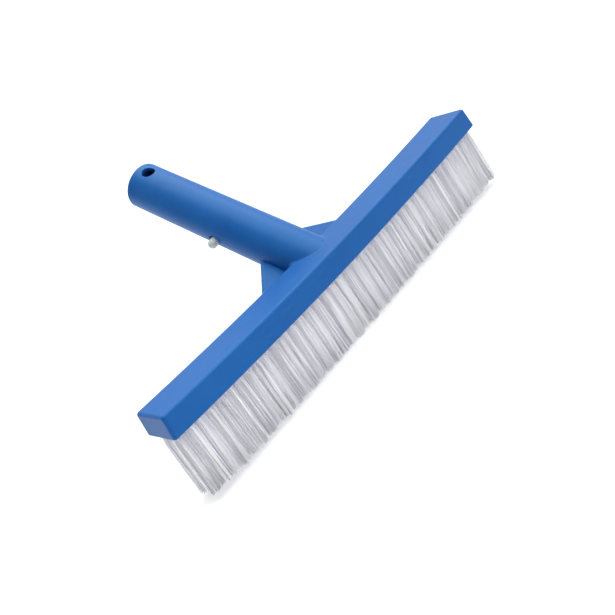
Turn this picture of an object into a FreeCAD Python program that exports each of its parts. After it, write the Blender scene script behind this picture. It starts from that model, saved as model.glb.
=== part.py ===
import FreeCAD, Part
import math
import os

# Pool wall brush: a curved brush back with an angled handle tube, tufts of bristle stapled into
# blind holes, and a spring clip whose button stands out of the tube to lock it in a pole.
# Millimetres. The brush stands on its bristle tips, and the origin is on them, under the middle
# of the back. X runs along the back, the handle leaves towards +Y, and +Z is away from the bristles.

V = FreeCAD.Vector

# ---------------------------------------------------------------- driving dimensions

# Brush back
back_length = 257.5        # along X, at the underside
back_width = 26.8          # along Y, at the underside
back_thickness = 12.6
back_rise = 3.0            # both ends curve up this far above the middle
end_draft = 1.75           # each end leans in by this much at the top
side_draft = 0.15          # each long side leans in by this much at the top
corner_radius = 1.8        # the four upright corners
top_edge_radius = 1.8
bottom_edge_radius = 0.8

# Bristles
bristle_length = 35.5      # from the underside to the tips, at the middle
tip_rise = 2.1             # the trimmed tips curve up this far at the ends
row_count = 4
row_pitch = 4.5
tuft_pitch = 6.55          # along a row
row_end_margin = 4.2       # at least this far from the last tuft's middle to the back's end
tuft_tip_radius = 2.6
end_tuft_lean = 2.7        # degrees outward, at the end of a long row
tuft_hole_radius = 1.75
tuft_hole_depth = 8.5      # leaves room past the staple for the fold of the bristle
tuft_clearance = 0.05      # radial, tuft in its hole

# Staples
staple_thickness = 0.5
staple_height = 1.6
staple_bite = 0.2          # each end of a staple digs this far into the hole's wall
staple_depth = 5.7         # from the underside to the staple's lower edge

# Handle tube
tube_radius = 13.75
bore_radius = 11.5         # from the open end to just past the clip's free ends
seat_radius = 11.25        # the narrower bottom of the bore, which holds the clip
seat_margin = 1.5          # the narrower part runs this far past the clip's free ends
handle_angle = 31.66       # degrees above the horizontal
axis_depth = 2.8           # the axis crosses the middle of the back this far below its underside
tube_length = 144.4        # from that crossing to the open end
bore_length = 108.4        # from the open end to the bore's floor
tube_root = 5.0            # the buried end of the tube lies this far in front of the crossing
root_step = 0.2            # the handle's cut-off lower side, above the back's lower rounding
tube_end_round = 0.8
bore_mouth_chamfer = 0.8
root_blend_radius = 2.5    # where the tube rises out of the top of the back

# Web: one flat plate through the tube, whose two free sides are the gussets
web_thickness = 4.4
web_half_span = 42.3       # half width where it meets the back
web_reach = 25.3           # how far it runs up the tube from the back
web_edge_radius = 1.8
web_bury = 4.0             # how far it runs on inside the back and the tube's wall

# Hanging hole in the top of the tube near its open end
end_hole_radius = 4.1
end_hole_inset = 8.75      # from the open end to the hole's middle

# End plug: a disc that closes the tube behind the hanging hole
plug_clearance = 0.05      # radial, plug in the bore
plug_thickness = 2.6
plug_inset = 1.4           # from the open end to the plug, which leaves the mouth's chamfer free

# Spring clip
clip_width = 6.4
clip_thickness = 2.0
clip_bend_radius = 9.2     # outside of the bend
clip_hinge_clearance = 0.05
clip_arm_length = 36.6     # from the hinge to the arm's free end
clip_arm_splay = 1.9       # degrees outward at rest
clip_turn = 12.0           # degrees about the tube's axis, which turns the button downward
button_inset = 69.4        # from the open end to the button's middle
button_radius = 2.8
button_stand = 4.8         # how far a button stands out of the tube
button_dome = 2.4          # height of its rounded end
button_hole_clearance = 0.8
button_hole_shift = 0.4    # towards the open end, to leave room for the button's swing

# ---------------------------------------------------------------- derived places

underside_z = bristle_length
top_z = underside_z + back_thickness
angle = math.radians(handle_angle)
along = V(0, math.cos(angle), math.sin(angle))
upward = V(0, -math.sin(angle), math.cos(angle))
sideways = V(1, 0, 0)
bore_floor = tube_length - bore_length
seat_end = bore_floor + clip_bend_radius + clip_arm_length + seat_margin
button_place = tube_length - button_inset
hinge_place = bore_floor + clip_bend_radius
hinge_side = clip_bend_radius - clip_thickness / 2
half_row = int((back_length / 2 - row_end_margin) / tuft_pitch)
tufts_in_long_row = 2 * half_row + 1   # every second row is staggered and has one tuft fewer
overrun = 5.0              # how far cutting tools run past what they cut
match_tolerance = 0.0001   # faces this close count as one where the moulding is divided


def on_axis(distance, side=0.0, lift=0.0):
    """A point given along the tube's axis, sideways from it, and up from its middle plane."""
    crossing = V(0, 0, underside_z - axis_depth)
    return crossing + along * distance + sideways * side + upward * lift


def arc_height(x, chord, rise):
    """Height at x of an arc that is lowest in its middle and rises by `rise` over half its chord."""
    radius = (chord * chord / 4 + rise * rise) / (2 * rise)
    return radius - math.sqrt(radius * radius - x * x)


def beyond(distance):
    """A wide round block that fills the room past a plane across the tube's axis."""
    return Part.makeCylinder(back_length, back_length, on_axis(distance), along)


# ---------------------------------------------------------------- the moulding
# One moulding on the real brush. It is cut here into a back, a root, a tube and two gussets,
# which meet face to face.

def back_block():
    """The curved back: a side profile with two arcs, drawn through its width, with leaning sides."""
    half_bottom = back_length / 2
    half_top = half_bottom - end_draft
    left_bottom = V(-half_bottom, 0, underside_z + back_rise)
    right_bottom = V(half_bottom, 0, underside_z + back_rise)
    left_top = V(-half_top, 0, top_z + back_rise)
    right_top = V(half_top, 0, top_z + back_rise)
    profile = Part.Wire([
        Part.Arc(left_bottom, V(0, 0, underside_z), right_bottom).toShape(),
        Part.LineSegment(right_bottom, right_top).toShape(),
        Part.Arc(right_top, V(0, 0, top_z), left_top).toShape(),
        Part.LineSegment(left_top, left_bottom).toShape(),
    ])
    profile.translate(V(0, -back_width / 2, 0))
    block = Part.Face(profile).extrude(V(0, back_width, 0))
    block = block.common(leaning_prism())
    block = block.makeFillet(corner_radius, upright_edges(block))
    block = block.makeFillet(top_edge_radius, rim_edges(block, top_z))
    return block.makeFillet(bottom_edge_radius, rim_edges(block, underside_z))


def leaning_prism():
    """A long prism with the back's leaning sides, taller than the back."""
    low = underside_z - overrun
    high = top_z + back_rise + overrun
    lean = side_draft / back_thickness
    half_low = back_width / 2 + lean * overrun
    half_high = half_low - lean * (high - low)
    start = -back_length / 2 - overrun
    outline = Part.makePolygon([
        V(start, -half_low, low),
        V(start, half_low, low),
        V(start, half_high, high),
        V(start, -half_high, high),
        V(start, -half_low, low),
    ])
    return Part.Face(outline).extrude(V(back_length + 2 * overrun, 0, 0))


def upright_edges(block):
    """The four edges that run up the back's corners."""
    return [edge for edge in block.Edges
            if edge.BoundBox.ZLength > back_thickness / 2 and edge.BoundBox.YLength < back_width / 4]


def rim_edges(block, level):
    """The edges round the back's top or underside, which rise from `level` towards the ends."""
    return [edge for edge in block.Edges
            if edge.BoundBox.ZMin > level - back_rise and edge.BoundBox.ZMax < level + 2 * back_rise]


def tube_solid():
    """The handle tube without its bore."""
    tube = Part.makeCylinder(tube_radius, tube_length + tube_root, on_axis(-tube_root), along)
    open_rim = [edge for edge in tube.Edges if edge.BoundBox.ZMin > top_z]
    return tube.makeFillet(tube_end_round, open_rim)


def web_solid():
    """The web's upper face holds the tube's axis, and its sides slope from the tube to the back."""
    at_back = back_width / 2 / math.cos(angle)
    slope = (web_half_span - tube_radius) / web_reach
    wide = web_half_span + slope * web_bury
    narrow = tube_radius - slope * web_bury
    near = at_back - web_bury
    far = at_back + web_reach + web_bury
    outline = Part.makePolygon([
        on_axis(near, -wide, -web_thickness),
        on_axis(near, wide, -web_thickness),
        on_axis(far, narrow, -web_thickness),
        on_axis(far, -narrow, -web_thickness),
        on_axis(near, -wide, -web_thickness),
    ])
    web = Part.Face(outline).extrude(upward * web_thickness)
    sides = [edge for edge in web.Edges
             if edge.BoundBox.XLength > web_reach / 2 and edge.BoundBox.YLength > web_reach / 2]
    return web.makeFillet(web_edge_radius, sides)


def root_edges(body):
    """The curved edge where the tube rises out of the top of the back."""
    found = []
    for edge in body.Edges:
        box = edge.BoundBox
        on_top = box.ZMin > top_z - top_edge_radius / 2 and box.ZMax < top_z + top_edge_radius / 2
        if on_top and box.XMin > -tube_radius - 1 and box.XMax < tube_radius + 1:
            found.append(edge)
    return found


def bore_tool():
    """The bore: the clip's seat, the wider stretch past it, and a chamfer at the mouth."""
    seat = Part.makeCylinder(seat_radius, seat_end - bore_floor, on_axis(bore_floor), along)
    wide = Part.makeCylinder(bore_radius, tube_length - seat_end + overrun, on_axis(seat_end), along)
    mouth_radius = bore_radius + bore_mouth_chamfer
    chamfer = Part.makeCone(bore_radius, mouth_radius, bore_mouth_chamfer,
                            on_axis(tube_length - bore_mouth_chamfer), along)
    return seat.fuse([wide, chamfer])


def below_handle():
    """The room under the handle, up to the level where its lower side is cut off."""
    level = underside_z + arc_height(web_half_span, back_length, back_rise) + bottom_edge_radius + root_step
    room = Part.makeBox(2 * back_length, 2 * back_length, back_length)
    room.translate(V(-back_length, -back_length, level - back_length))
    return room


def handle_nodes(block):
    """The handle without the back: its solid root, its bored tube and the two gussets."""
    lower = below_handle()
    tube = tube_solid().cut(lower)
    web = web_solid().cut(lower)
    whole = block.fuse([tube, web]).removeSplitter()
    whole = whole.makeFillet(root_blend_radius, root_edges(whole))
    handle = whole.cut([block], match_tolerance)
    gussets = web.cut([block, tube_solid()])
    rest = handle.cut([gussets], match_tolerance)
    outer = beyond(bore_floor)
    bored = rest.common(outer).cut([bore_tool()] + cross_hole_tools())
    left, right = sorted(gussets.Solids, key=lambda solid: solid.CenterOfMass.x)
    return {"handle_root": rest.cut(outer), "handle_tube": bored, "gusset_left": left, "gusset_right": right}


def turned(shape):
    """The shape with its -X side turned downward about the tube's axis, by the clip's turn."""
    shape.rotate(on_axis(0), along, -clip_turn)
    return shape


def cross_hole_tools():
    """The hanging hole, through the top only, and the button's hole, through the -X side only."""
    reach = tube_radius + overrun
    end_hole = Part.makeCylinder(end_hole_radius, reach, on_axis(tube_length - end_hole_inset), upward)
    button_hole = Part.makeCylinder(button_radius + button_hole_clearance, reach,
                                    on_axis(button_place + button_hole_shift, -reach), sideways)
    return [end_hole, turned(button_hole)]


# ---------------------------------------------------------------- tufts and staples

def row_points(row):
    """Where the tufts of a row leave the underside, with each one's lean in degrees."""
    count = tufts_in_long_row - row % 2
    y = (row - (row_count - 1) / 2) * row_pitch
    last = (tufts_in_long_row - 1) / 2 * tuft_pitch
    points = []
    for number in range(count):
        x = (number - (count - 1) / 2) * tuft_pitch
        z = underside_z + arc_height(x, back_length, back_rise)
        points.append((V(x, y, z), end_tuft_lean * x / last))
    return points


def placed(shape, mouth, lean):
    """A shape drawn about a tuft's axis, with its mouth at the origin, moved to its place."""
    copy = shape.copy()
    copy.rotate(V(0, 0, 0), V(0, 1, 0), -lean)
    copy.translate(mouth)
    return copy


def staple_solid():
    """A flat staple across the hole, its two ends a little longer than the hole is wide."""
    width = 2 * (tuft_hole_radius + staple_bite)
    staple = Part.makeBox(width, staple_thickness, staple_height)
    staple.translate(V(-width / 2, -staple_thickness / 2, staple_depth))
    return staple


def hole_solid():
    """A blind hole up into the back, with the slots that the staple's ends have pressed."""
    hole = Part.makeCylinder(tuft_hole_radius, tuft_hole_depth + overrun, V(0, 0, -overrun))
    return hole.fuse(staple_solid())


def tuft_solid(mouth, lean):
    """One tuft: bristle that spreads evenly from the staple in its hole to the trimmed tips."""
    tip_x = mouth.x + bristle_length * math.tan(math.radians(lean))
    drop = mouth.z - arc_height(tip_x, back_length, tip_rise)
    length = drop / math.cos(math.radians(lean))
    mouth_radius = tuft_hole_radius - tuft_clearance
    spread = (tuft_tip_radius - mouth_radius) / length
    root_radius = mouth_radius - spread * staple_depth
    tuft = Part.makeCone(tuft_tip_radius, root_radius, length + staple_depth, V(0, 0, -length))
    return placed(tuft, mouth, lean)


def end_plug():
    """A plain disc just inside the tube's open end."""
    return Part.makeCylinder(bore_radius - plug_clearance, plug_thickness,
                             on_axis(tube_length - plug_inset - plug_thickness), along)


# ---------------------------------------------------------------- spring clip

def across(radius, distance, side):
    """A round bar as wide as the clip, whose axis runs from the tube's underside to its top."""
    return Part.makeCylinder(radius, clip_width, on_axis(distance, side, -clip_width / 2), upward)


def leaning_arm(side):
    """A straight arm with round ends that leans outward. side is -1 or +1."""
    half = clip_thickness / 2
    straight = clip_arm_length - half
    outline = Part.makePolygon([
        on_axis(hinge_place, side * hinge_side - half, -clip_width / 2),
        on_axis(hinge_place, side * hinge_side + half, -clip_width / 2),
        on_axis(hinge_place + straight, side * hinge_side + half, -clip_width / 2),
        on_axis(hinge_place + straight, side * hinge_side - half, -clip_width / 2),
        on_axis(hinge_place, side * hinge_side - half, -clip_width / 2),
    ])
    arm = Part.Face(outline).extrude(upward * clip_width)
    arm = arm.fuse([across(half, hinge_place, side * hinge_side),
                    across(half, hinge_place + straight, side * hinge_side)])
    arm.rotate(on_axis(hinge_place, side * hinge_side), upward, -side * clip_arm_splay)
    return arm


def clip_spring():
    """A half ring that seats on the bore's floor, with a plain leg on +X and a hollow end on -X."""
    ring = across(clip_bend_radius, hinge_place, 0)
    ring = ring.cut(across(clip_bend_radius - clip_thickness, hinge_place, 0))
    bend = ring.cut(beyond(hinge_place))
    hollow = across(clip_thickness / 2 + clip_hinge_clearance, hinge_place, -hinge_side)
    spring = bend.cut(hollow).fuse(leaning_arm(1)).removeSplitter()
    return turned(spring)


def clip_arm():
    """The arm on -X, with a round button that ends in a dome outside the tube."""
    swing = (button_place - hinge_place) * math.tan(math.radians(clip_arm_splay))
    start = hinge_side + swing
    shoulder = tube_radius + button_stand - button_dome
    crown = tube_radius + button_stand
    cap_radius = (button_dome ** 2 + button_radius ** 2) / (2 * button_dome)
    half_turn = math.asin(button_radius / cap_radius) / 2
    mid = V(cap_radius * math.sin(half_turn), 0, crown - cap_radius * (1 - math.cos(half_turn)))
    outline = Part.Wire([
        Part.LineSegment(V(0, 0, start), V(button_radius, 0, start)).toShape(),
        Part.LineSegment(V(button_radius, 0, start), V(button_radius, 0, shoulder)).toShape(),
        Part.Arc(V(button_radius, 0, shoulder), mid, V(0, 0, crown)).toShape(),
        Part.LineSegment(V(0, 0, crown), V(0, 0, start)).toShape(),
    ])
    button = Part.Face(outline).revolve(V(0, 0, 0), V(0, 0, 1), 360)
    button.rotate(V(0, 0, 0), V(0, 1, 0), -90)
    button.translate(on_axis(button_place))
    return turned(leaning_arm(-1).fuse(button).removeSplitter())


# ---------------------------------------------------------------- build and write

os.makedirs("parts", exist_ok=True)


def write(node, shape):
    """Save one node, and say what it holds."""
    shape.exportStep("parts/" + node + ".step")
    print(node, len(shape.Solids), "solids", round(shape.Volume, 1), "mm3", shape.isValid())


block = back_block()
for node, shape in handle_nodes(block).items():
    write(node, shape)

hole = hole_solid()
holes = []
for row in range(row_count):
    for mouth, lean in row_points(row):
        holes.append(placed(hole, mouth, lean))
write("brush_back", block.cut(holes))

staple = staple_solid()
for row in range(row_count):
    points = row_points(row)
    write("tufts_row_" + str(row + 1), Part.makeCompound([tuft_solid(*point) for point in points]))
    write("staples_row_" + str(row + 1), Part.makeCompound([placed(staple, *point) for point in points]))

write("end_plug", end_plug())
write("clip_spring", clip_spring())
write("clip_arm", clip_arm())
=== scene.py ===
import math
import random

import bpy
from mathutils import Matrix, Vector


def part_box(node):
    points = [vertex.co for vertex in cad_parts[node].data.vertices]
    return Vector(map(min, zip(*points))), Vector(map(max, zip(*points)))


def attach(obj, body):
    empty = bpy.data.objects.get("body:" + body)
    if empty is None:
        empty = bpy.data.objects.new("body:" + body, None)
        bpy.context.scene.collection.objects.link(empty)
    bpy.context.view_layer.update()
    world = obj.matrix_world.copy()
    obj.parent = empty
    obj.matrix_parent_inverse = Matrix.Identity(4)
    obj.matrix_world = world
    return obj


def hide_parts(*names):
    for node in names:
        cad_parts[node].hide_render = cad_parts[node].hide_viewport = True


# Looks of the pool wall brush: satin blue moulding, bundles of white nylon filament, off-white clip.
# Metres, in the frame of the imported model: the brush stands on its bristle tips at z = 0.

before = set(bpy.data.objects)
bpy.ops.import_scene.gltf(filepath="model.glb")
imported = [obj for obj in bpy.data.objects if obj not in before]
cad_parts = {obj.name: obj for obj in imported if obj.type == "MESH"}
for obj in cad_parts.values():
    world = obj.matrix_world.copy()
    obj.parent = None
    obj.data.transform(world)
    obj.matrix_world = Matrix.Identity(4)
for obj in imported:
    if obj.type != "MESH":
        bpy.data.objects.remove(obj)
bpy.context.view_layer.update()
MM = 0.001

# Colours are linear red, green and blue.
BLUE_DEEP = (0.003, 0.086, 0.350)
BLUE_PALE = (0.005, 0.100, 0.385)
BLUE_CLOUD = (0.008, 0.115, 0.400)
# Paler blue, used both for scattered scuffs (wear) and for the painted highlight along sharp edges.
BLUE_WEAR_AND_HIGHLIGHT = (0.120, 0.360, 0.700)
BLUE_SHEEN = (0.65, 1.0, 0.95, 1.0)
EDGE_REACH = 1.1 * MM          # how far from a sharp edge the painted highlight spreads
NYLON_DARK = (0.82, 0.81, 0.91)
NYLON_LIGHT = (0.93, 0.92, 0.99)
NYLON_STREAK = (0.91, 0.90, 0.99)
# Colour of the bristles' painted glow.
NYLON_GLOW = (0.93, 0.92, 1.0, 1.0)
BRISTLE_PAINTED_GLOW = 0.065             # painted glow: emission that stands in for light spreading through many filaments
MILKY_DEPTH = 2.5 * MM
CLIP_DARK = (0.55, 0.57, 0.56)
CLIP_LIGHT = (0.64, 0.66, 0.65)
STEEL_DARK = (0.46, 0.46, 0.45)
STEEL_LIGHT = (0.62, 0.62, 0.60)
FLOOR_DARK = (0.60, 0.60, 0.60)
FLOOR_LIGHT = (0.62, 0.62, 0.62)
FLOOR_GLOW = 0.40
FLOOR_HALF = 60.0              # half the floor's side
WHITE = (1, 1, 1, 1)

ROWS = 4
LONG_ROW = 39                  # tufts in the first and third rows; the other two have one fewer
TUFT_PITCH = 6.55 * MM
BACK_LENGTH = 257.5 * MM
BACK_RISE = 3.0 * MM           # of the underside's ends over its middle
TIP_RISE = 2.1 * MM            # of the end tips over the middle ones
BRISTLE_LENGTH = 35.5 * MM
END_LEAN = math.radians(2.7)
HOLE_RADIUS = 1.55 * MM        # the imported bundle, just inside its hole
ROOT_DEPTH = 1.5 * MM          # filaments start this far up in the hole
FLARE_DROP = 4.0 * MM          # below the underside, the bundle has opened out
FLARE_RADIUS = (3.6 * MM, 2.7 * MM)
TIP_RADIUS = (3.9 * MM, 3.2 * MM)
FILAMENTS = 85
FILAMENT_RADIUS = 0.20 * MM
SIDES = 5
STEPS = (0.0, 0.07, 0.2, 0.55, 1.0)    # places of the rings down a filament
SCALLOP = 0.9 * MM             # a bundle's outer filaments end this much higher than its middle ones
CORE_SIDES = 36
CORE_SHARE = 0.92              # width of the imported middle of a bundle, of the bundle's own
CORE_GROOVE = 0.05             # share by which its flutes differ in width
CORE_SHORT = 1.6 * MM          # it ends this far above the tips
CORE_OPENING = 0.8             # share of the flare that it reaches halfway down
SEED = 100

# Spreads of the random draws; lengths are in millimetres, and shades run from 0 (dark) to 1 (light).
TIP_SPREAD = (0.9, 1.08)
TIP_SCATTER = 0.25
TIP_UNEVEN = 0.45
BOW = 0.25
TUFT_DRIFT = (0.28, 0.2)
TUFT_TRIM = (-0.3, 0.7)
TUFT_SHADE = (0.4, 0.6)
FILAMENT_SHADE = 0.2
FLUTE_SHADE = (0.35, 0.7)

VIEW_TARGET = (-0.0190, 0.0081, 0.0269)
VIEW_DISTANCE = 0.445
VIEW_HEADING = 31.31           # degrees from +Y towards +X
VIEW_FALL = 21.75              # degrees below the horizontal
VIEW_ROLL = 34.14              # degrees clockwise
LENS = 49.73                   # millimetres
SENSOR = 36.0
SHIFT = (-0.0050, -0.0074)

HORIZON_SIDE = (0.52, 0.85, 0.0)
HORIZON_HEIGHT = (0.14, 0.36)  # where its white starts and ends to fade upward
HORIZON_WIDTH = (0.3, 0.7)     # where it fades in, as the cosine to its side
SKY_BRIGHT_SIDE = (0.40, 0.55, 0.70)
SKY_TURN = (-0.5, 0.8)         # where the sky goes from dim to bright, as the cosine to its bright side
SKY_DIM = 0.08
SKY_BRIGHT = 0.85

# name, place, strength, width in degrees, tint
SUNS = (
    ("key", (0.40, 0.10, 0.90), 3.0, 70.0, (0.92, 1.0, 0.88)),
    ("fill", (0.45, -0.80, 0.45), 0.75, 60.0, (0.95, 0.93, 1.0)),
)


# ---------------------------------------------------------------- node helpers

class Nodes:
    """A new material and short calls that add nodes to it."""

    def __init__(self, name):
        self.material = bpy.data.materials.new(name)
        self.material.use_nodes = True
        self.tree = self.material.node_tree
        self.shader = self.tree.nodes["Principled BSDF"]

    def link(self, source, target):
        self.tree.links.new(source, target)

    def set(self, **values):
        """Sets the shader's own sockets; underscores in the names stand for spaces."""
        for name, value in values.items():
            self.shader.inputs[name.replace("_", " ")].default_value = value

    def coordinates(self, scale=(1, 1, 1)):
        """Object coordinates in metres, stretched by scale."""
        source = self.tree.nodes.new("ShaderNodeTexCoord")
        mapping = self.tree.nodes.new("ShaderNodeMapping")
        mapping.inputs["Scale"].default_value = scale
        self.link(source.outputs["Object"], mapping.inputs["Vector"])
        return mapping.outputs["Vector"]

    def noise(self, vector, scale, detail=2.0, roughness=0.5):
        """Smooth noise around 0.5, with about `scale` swings per metre."""
        node = self.tree.nodes.new("ShaderNodeTexNoise")
        node.inputs["Scale"].default_value = scale
        node.inputs["Detail"].default_value = detail
        node.inputs["Roughness"].default_value = roughness
        self.link(vector, node.inputs["Vector"])
        return node.outputs["Fac"]

    def remap(self, value, low, high, to_low=0.0, to_high=1.0):
        node = self.tree.nodes.new("ShaderNodeMapRange")
        node.inputs["From Min"].default_value = low
        node.inputs["From Max"].default_value = high
        node.inputs["To Min"].default_value = to_low
        node.inputs["To Max"].default_value = to_high
        self.link(value, node.inputs["Value"])
        return node.outputs["Result"]

    def mix(self, factor, first, second):
        """A colour between two, each a socket or an (r, g, b) triple; factor is a socket or a number."""
        node = self.tree.nodes.new("ShaderNodeMix")
        node.data_type = "RGBA"
        for socket, value in ((node.inputs[0], factor), (node.inputs[6], first), (node.inputs[7], second)):
            if isinstance(value, bpy.types.NodeSocket):
                self.link(value, socket)
            elif isinstance(value, (int, float)):
                socket.default_value = value
            else:
                socket.default_value = (*value, 1)
        return node.outputs[2]

    def math(self, operation, first, second):
        node = self.tree.nodes.new("ShaderNodeMath")
        node.operation = operation
        self.link(first, node.inputs[0])
        self.link(second, node.inputs[1])
        return node.outputs["Value"]

    def edges(self, radius, low, high):
        """1 where the surface turns sharply within radius, and 0 where it is flat."""
        bevel = self.tree.nodes.new("ShaderNodeBevel")
        bevel.samples = 6
        bevel.inputs["Radius"].default_value = radius
        surface = self.tree.nodes.new("ShaderNodeNewGeometry")
        dot = self.tree.nodes.new("ShaderNodeVectorMath")
        dot.operation = "DOT_PRODUCT"
        self.link(bevel.outputs["Normal"], dot.inputs[0])
        self.link(surface.outputs["Normal"], dot.inputs[1])
        return self.remap(dot.outputs["Value"], 1.0 - low, 1.0 - high)

    def bump(self, height, strength, distance, normal=None):
        node = self.tree.nodes.new("ShaderNodeBump")
        node.inputs["Strength"].default_value = strength
        node.inputs["Distance"].default_value = distance
        self.link(height, node.inputs["Height"])
        if normal is not None:
            self.link(normal, node.inputs["Normal"])
        return node.outputs["Normal"]

    def finish(self, colour, roughness, normal=None):
        """Links what varies over the surface to the shader."""
        self.link(colour, self.shader.inputs["Base Color"])
        if roughness is not None:
            self.link(roughness, self.shader.inputs["Roughness"])
        if normal is not None:
            self.link(normal, self.shader.inputs["Normal"])


# ---------------------------------------------------------------- materials

def blue_plastic(name, painted_edges):
    """Satin injection-moulded polypropylene: fine grain and faint flow shading. Scattered scuffs are
    paler; where asked, sharp edges also get a paler painted highlight.
    """
    n = Nodes(name)
    place = n.coordinates()
    flow = n.noise(n.coordinates((0.8, 2.5, 2.5)), scale=12.0, detail=3.0)
    grain = n.noise(place, scale=2600.0)
    cloud = n.noise(place, scale=60.0, detail=5.0, roughness=0.6)
    scuff = n.noise(n.coordinates((1.0, 6.0, 6.0)), scale=90.0, detail=4.0, roughness=0.65)
    base = n.mix(n.remap(flow, 0.3, 0.7), BLUE_DEEP, BLUE_PALE)
    base = n.mix(n.remap(cloud, 0.35, 0.75, to_high=0.5), base, BLUE_CLOUD)
    wear_and_edge_highlight = n.remap(scuff, 0.60, 0.75, to_high=0.08)
    # Painted highlight: sharp edges, found by the bevel mask, are made paler as if they caught the light,
    # broken up by the scuff noise.
    if painted_edges:
        patchy = n.remap(scuff, 0.35, 0.62, to_low=0.35, to_high=0.9)
        painted_edge_highlight = n.math("MULTIPLY", n.edges(EDGE_REACH, 0.02, 0.35), patchy)
        wear_and_edge_highlight = n.math("MAXIMUM", wear_and_edge_highlight, painted_edge_highlight)
    roughness = n.remap(n.math("ADD", cloud, wear_and_edge_highlight), 0.3, 1.1, to_low=0.38, to_high=0.56)
    soft = n.bump(flow, strength=0.12, distance=0.4 * MM)
    fine = n.bump(grain, strength=0.10, distance=0.05 * MM, normal=soft)
    # The paler blue goes on the scuffs, which are wear, and on the painted edge highlight.
    n.finish(n.mix(wear_and_edge_highlight, base, BLUE_WEAR_AND_HIGHLIGHT), roughness, fine)
    n.set(IOR=1.49, Specular_IOR_Level=0.24, Specular_Tint=BLUE_SHEEN)
    return n.material


def nylon():
    """Milky nylon filament; each filament has its own shade, kept on the mesh. A faint painted glow stands
    in for light spreading through the bundle.
    """
    n = Nodes("nylon_bristle")
    shade = n.tree.nodes.new("ShaderNodeAttribute")
    shade.attribute_name = "shade"
    streak = n.noise(n.coordinates((1.0, 1.0, 0.05)), scale=900.0)
    tone = n.mix(shade.outputs["Fac"], NYLON_DARK, NYLON_LIGHT)
    tone = n.mix(n.remap(streak, 0.35, 0.65, to_high=0.3), tone, NYLON_STREAK)
    n.finish(tone, n.remap(streak, 0.3, 0.7, to_low=0.24, to_high=0.40))
    # The emission is a painted glow, not a lamp.
    n.set(IOR=1.53, Subsurface_Weight=1.0, Subsurface_Scale=MILKY_DEPTH, Subsurface_Radius=(1.0, 1.0, 1.0),
          Emission_Color=NYLON_GLOW, Emission_Strength=BRISTLE_PAINTED_GLOW)
    return n.material


def clip_plastic():
    """Off-white acetal with a faint mould grain."""
    n = Nodes("clip_plastic")
    place = n.coordinates()
    cloud = n.noise(place, scale=160.0, detail=3.0)
    grain = n.noise(place, scale=3200.0)
    n.finish(n.mix(n.remap(cloud, 0.3, 0.7), CLIP_DARK, CLIP_LIGHT),
             n.remap(cloud, 0.3, 0.7, to_low=0.28, to_high=0.40),
             n.bump(grain, strength=0.15, distance=0.04 * MM))
    n.set(IOR=1.48)
    return n.material


def staple_steel():
    """Drawn flat wire, with fine lines along it."""
    n = Nodes("staple_steel")
    lines = n.noise(n.coordinates((0.05, 1.0, 1.0)), scale=6000.0)
    n.finish(n.mix(n.remap(lines, 0.3, 0.7), STEEL_DARK, STEEL_LIGHT),
             n.remap(lines, 0.3, 0.7, to_low=0.28, to_high=0.42),
             n.bump(lines, strength=0.2, distance=0.02 * MM))
    n.set(Metallic=1.0)
    return n.material


def dress(node, material):
    """Gives a CAD node its material; its mesh stays as it is."""
    node.data.materials.clear()
    node.data.materials.append(material)


# ---------------------------------------------------------------- bristles

def arc_height(x, chord, rise):
    """Height at x of an arc that is lowest in its middle and rises by `rise` over half its chord."""
    radius = (chord * chord / 4 + rise * rise) / (2 * rise)
    return radius - math.sqrt(radius * radius - x * x)


def tuft_end(mouth, lean):
    """Where the middle of a tuft ends, as x and z: along its lean, on the curve of the tips."""
    x = mouth.x + BRISTLE_LENGTH * math.tan(lean)
    return x, arc_height(min(abs(x), BACK_LENGTH / 2), BACK_LENGTH, TIP_RISE)


def scatter(dice, wide, deep):
    """A random step sideways; its two spreads are in millimetres."""
    return Vector((dice.gauss(0, wide), dice.gauss(0, deep), 0)) * MM


def filament_path(mouth, lean, dice, tuft):
    """Points down one filament: out of its hole, quickly apart, and then nearly straight to its tip."""
    turn = dice.uniform(0, 2 * math.pi)
    reach = math.sqrt(dice.random())
    outward = Vector((math.cos(turn), math.sin(turn), 0)) * reach
    root = outward * HOLE_RADIUS
    flare = Vector((outward.x * FLARE_RADIUS[0], outward.y * FLARE_RADIUS[1], 0))
    spread = dice.uniform(*TIP_SPREAD)
    tip = Vector((outward.x * TIP_RADIUS[0], outward.y * TIP_RADIUS[1], 0)) * spread + tuft["drift"]
    tip += scatter(dice, TIP_SCATTER, TIP_SCATTER)
    end_x, end_z = tuft_end(mouth, lean)
    end_z += tuft["trim"] + SCALLOP * reach * reach + dice.uniform(0, TIP_UNEVEN) * MM
    end = Vector((end_x, mouth.y, end_z))
    start = mouth + Vector((0, 0, ROOT_DEPTH))
    flare_share = (FLARE_DROP + ROOT_DEPTH) / (start.z - end.z)
    bow = scatter(dice, BOW, BOW)
    points = []
    for share in STEPS:
        centre = mouth.lerp(end, share)
        centre.z = start.lerp(end, share).z
        opened = 1 - (1 - min(share / flare_share, 1)) ** 2
        wide = root.lerp(flare, opened).lerp(tip, max(0, share - flare_share) / (1 - flare_share))
        points.append(centre + wide + bow * math.sin(math.pi * share))
    return points


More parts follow.
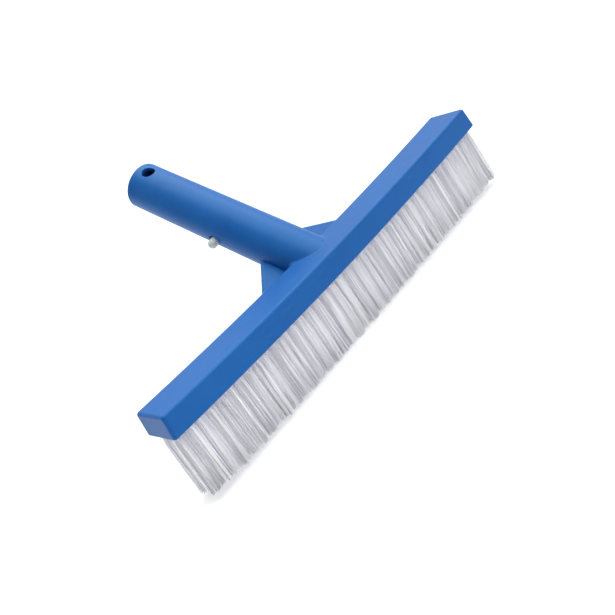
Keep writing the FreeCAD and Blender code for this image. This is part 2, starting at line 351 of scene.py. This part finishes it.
def add_filament(points, dice, vertices, faces, shades, tone):
    """A thin tube with closed ends along the points."""
    first = len(vertices)
    twist = dice.uniform(0, 2 * math.pi)
    for index, point in enumerate(points):
        before = points[max(index - 1, 0)]
        after = points[min(index + 1, len(points) - 1)]
        axis = (after - before).normalized()
        across = axis.cross(Vector((0, 1, 0))).normalized()
        other = axis.cross(across)
        for side in range(SIDES):
            angle = twist + 2 * math.pi * side / SIDES
            vertices.append(point + (across * math.cos(angle) + other * math.sin(angle)) * FILAMENT_RADIUS)
            shades.append(tone)
    for ring in range(len(points) - 1):
        for side in range(SIDES):
            a = first + ring * SIDES + side
            b = first + ring * SIDES + (side + 1) % SIDES
            faces.append((a, b, b + SIDES, a + SIDES))
    last = first + (len(points) - 1) * SIDES
    faces.append(tuple(first + side for side in reversed(range(SIDES))))
    faces.append(tuple(last + side for side in range(SIDES)))


def add_core(mouth, lean, dice, tuft, vertices, faces, shades):
    """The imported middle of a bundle, as one fluted cone whose flutes have their own shades."""
    first = len(vertices)
    end_x, end_z = tuft_end(mouth, lean)
    foot = end_z + tuft["trim"] + CORE_SHORT
    top = mouth.z + ROOT_DEPTH
    rings = (
        (top, HOLE_RADIUS, HOLE_RADIUS),
        (mouth.z, HOLE_RADIUS, HOLE_RADIUS),
        (mouth.z - FLARE_DROP / 2, CORE_OPENING * FLARE_RADIUS[0], CORE_OPENING * FLARE_RADIUS[1]),
        (mouth.z - FLARE_DROP, FLARE_RADIUS[0], FLARE_RADIUS[1]),
        (foot, TIP_RADIUS[0], TIP_RADIUS[1]),
    )
    flutes = [(dice.uniform(CORE_SHARE - CORE_GROOVE, CORE_SHARE), dice.uniform(*FLUTE_SHADE))
              for _ in range(CORE_SIDES)]
    for z, wide, deep in rings:
        down = (top - z) / (top - foot)
        centre_x = mouth.x + (end_x + tuft["drift"].x - mouth.x) * down
        centre_y = mouth.y + tuft["drift"].y * down
        for side, (share, tone) in enumerate(flutes):
            angle = 2 * math.pi * side / CORE_SIDES
            vertices.append(Vector((centre_x + wide * share * math.cos(angle),
                                    centre_y + deep * share * math.sin(angle), z)))
            shades.append(tone)
    for ring in range(len(rings) - 1):
        for side in range(CORE_SIDES):
            a = first + ring * CORE_SIDES + side
            b = first + ring * CORE_SIDES + (side + 1) % CORE_SIDES
            faces.append((a, a + CORE_SIDES, b + CORE_SIDES, b))
    last = first + (len(rings) - 1) * CORE_SIDES
    faces.append(tuple(first + side for side in range(CORE_SIDES)))
    faces.append(tuple(last + side for side in reversed(range(CORE_SIDES))))


def bristle_row(row, material):
    """All the filaments of one row of tufts, as one mesh that stands for the row's plain cones."""
    node = "tufts_row_" + str(row + 1)
    low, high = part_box(node)
    y = (low.y + high.y) / 2
    count = LONG_ROW - row % 2
    last = (LONG_ROW - 1) / 2 * TUFT_PITCH
    dice = random.Random(SEED + row)
    vertices, faces, shades = [], [], []
    for number in range(count):
        x = (number - (count - 1) / 2) * TUFT_PITCH
        mouth = Vector((x, y, BRISTLE_LENGTH + arc_height(x, BACK_LENGTH, BACK_RISE)))
        lean = END_LEAN * x / last
        uneven = 1.0 + max(0.0, -x / BACK_LENGTH)    # more so towards the left end
        tuft = {
            "drift": scatter(dice, *TUFT_DRIFT) * uneven,
            "trim": dice.uniform(*TUFT_TRIM) * MM * uneven,
        }
        add_core(mouth, lean, dice, tuft, vertices, faces, shades)
        tone = dice.uniform(*TUFT_SHADE)
        for _ in range(FILAMENTS):
            points = filament_path(mouth, lean, dice, tuft)
            shade = min(1.0, max(0.0, dice.gauss(tone, FILAMENT_SHADE)))
            add_filament(points, dice, vertices, faces, shades, shade)
    mesh = bpy.data.meshes.new("bristles_row_" + str(row + 1))
    mesh.from_pydata([tuple(v) for v in vertices], [], faces)
    attribute = mesh.attributes.new("shade", "FLOAT", "POINT")
    attribute.data.foreach_set("value", shades)
    mesh.shade_smooth()
    mesh.update()
    piece = bpy.data.objects.new(mesh.name, mesh)
    bpy.context.scene.collection.objects.link(piece)
    piece.data.materials.append(material)
    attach(piece, "brush")
    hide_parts(node)


# ---------------------------------------------------------------- stage, lights and camera

def stage():
    """A pale floor under the bristle tips, with a glow of its own so that shadows stay faint."""
    half = FLOOR_HALF
    mesh = bpy.data.meshes.new("floor")
    corners = [(-half, -half, 0), (half, -half, 0), (half, half, 0), (-half, half, 0)]
    mesh.from_pydata(corners, [], [(0, 1, 2, 3)])
    floor = bpy.data.objects.new("floor", mesh)
    bpy.context.scene.collection.objects.link(floor)
    n = Nodes("floor")
    speck = n.noise(n.coordinates(), scale=30.0)
    n.finish(n.mix(n.remap(speck, 0.3, 0.7), FLOOR_DARK, FLOOR_LIGHT), None)
    n.set(Roughness=0.9, Emission_Color=WHITE, Emission_Strength=FLOOR_GLOW)
    mesh.materials.append(n.material)


def sky():
    """A soft surround: bright behind and above, dim in front and left, white along the horizon ahead."""
    world = bpy.data.worlds.new("studio")
    bpy.context.scene.world = world
    world.use_nodes = True
    tree = world.node_tree
    direction = tree.nodes.new("ShaderNodeTexCoord").outputs["Generated"]
    split = tree.nodes.new("ShaderNodeSeparateXYZ")
    tree.links.new(direction, split.inputs[0])

    def ramp(value, span, first, last):
        node = tree.nodes.new("ShaderNodeMapRange")
        node.interpolation_type = "SMOOTHSTEP"
        node.inputs["From Min"].default_value = span[0]
        node.inputs["From Max"].default_value = span[1]
        node.inputs["To Min"].default_value = first
        node.inputs["To Max"].default_value = last
        tree.links.new(value, node.inputs["Value"])
        return node.outputs["Result"]

    def towards(side):
        node = tree.nodes.new("ShaderNodeVectorMath")
        node.operation = "DOT_PRODUCT"
        node.inputs[1].default_value = side
        tree.links.new(direction, node.inputs[0])
        return node.outputs["Value"]

    def combine(operation, first, second):
        node = tree.nodes.new("ShaderNodeMath")
        node.operation = operation
        tree.links.new(first, node.inputs[0])
        tree.links.new(second, node.inputs[1])
        return node.outputs["Value"]

    low = ramp(split.outputs["Z"], HORIZON_HEIGHT, 1.0, 0.0)
    horizon = combine("MULTIPLY", low, ramp(towards(HORIZON_SIDE), HORIZON_WIDTH, 0.0, 1.0))
    level = combine("MAXIMUM", horizon, ramp(towards(SKY_BRIGHT_SIDE), SKY_TURN, SKY_DIM, SKY_BRIGHT))
    tree.links.new(level, tree.nodes["Background"].inputs["Strength"])
    tree.nodes["Background"].inputs["Color"].default_value = WHITE


def sun(name, place, strength, spread, tint):
    """A distant soft light that shines from place towards the origin; spread is its width in degrees."""
    data = bpy.data.lights.new(name, "SUN")
    data.energy = strength
    data.angle = math.radians(spread)
    data.color = tint
    lamp = bpy.data.objects.new(name, data)
    bpy.context.scene.collection.objects.link(lamp)
    lamp.rotation_euler = (-Vector(place)).to_track_quat("-Z", "Y").to_euler()


def camera():
    """Looks down at the front left of the brush, turned about its own line of sight."""
    heading = math.radians(VIEW_HEADING)
    fall = math.radians(VIEW_FALL)
    roll = math.radians(VIEW_ROLL)
    flat = math.cos(fall)
    forward = Vector((math.sin(heading) * flat, math.cos(heading) * flat, -math.sin(fall)))
    level = forward.cross(Vector((0, 0, 1))).normalized()
    top = level.cross(forward)
    up = top * math.cos(roll) + level * math.sin(roll)
    right = forward.cross(up)
    data = bpy.data.cameras.new("camera")
    data.lens = LENS
    data.sensor_width = SENSOR
    data.shift_x, data.shift_y = SHIFT
    view = bpy.data.objects.new("camera", data)
    bpy.context.scene.collection.objects.link(view)
    place = Vector(VIEW_TARGET) - forward * VIEW_DISTANCE
    turn = Matrix((right, up, -forward)).transposed().to_4x4()
    view.matrix_world = Matrix.Translation(place) @ turn
    bpy.context.scene.camera = view


bpy.context.scene.view_settings.view_transform = "Standard"
camera()
stage()
sky()
for light in SUNS:
    sun(*light)

# The back gets the painted edge highlight; the handle gets only the scuffs.
back_blue = blue_plastic("blue_plastic", painted_edges=True)
handle_blue = blue_plastic("blue_plastic_handle", painted_edges=False)
off_white = clip_plastic()
steel = staple_steel()
filament = nylon()
dress(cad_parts["brush_back"], back_blue)
for name in ("handle_root", "handle_tube", "gusset_left", "gusset_right", "end_plug"):
    dress(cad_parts[name], handle_blue)
for name in ("clip_spring", "clip_arm"):
    dress(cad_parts[name], off_white)
for row in range(ROWS):
    dress(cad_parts["staples_row_" + str(row + 1)], steel)
    bristle_row(row, filament)
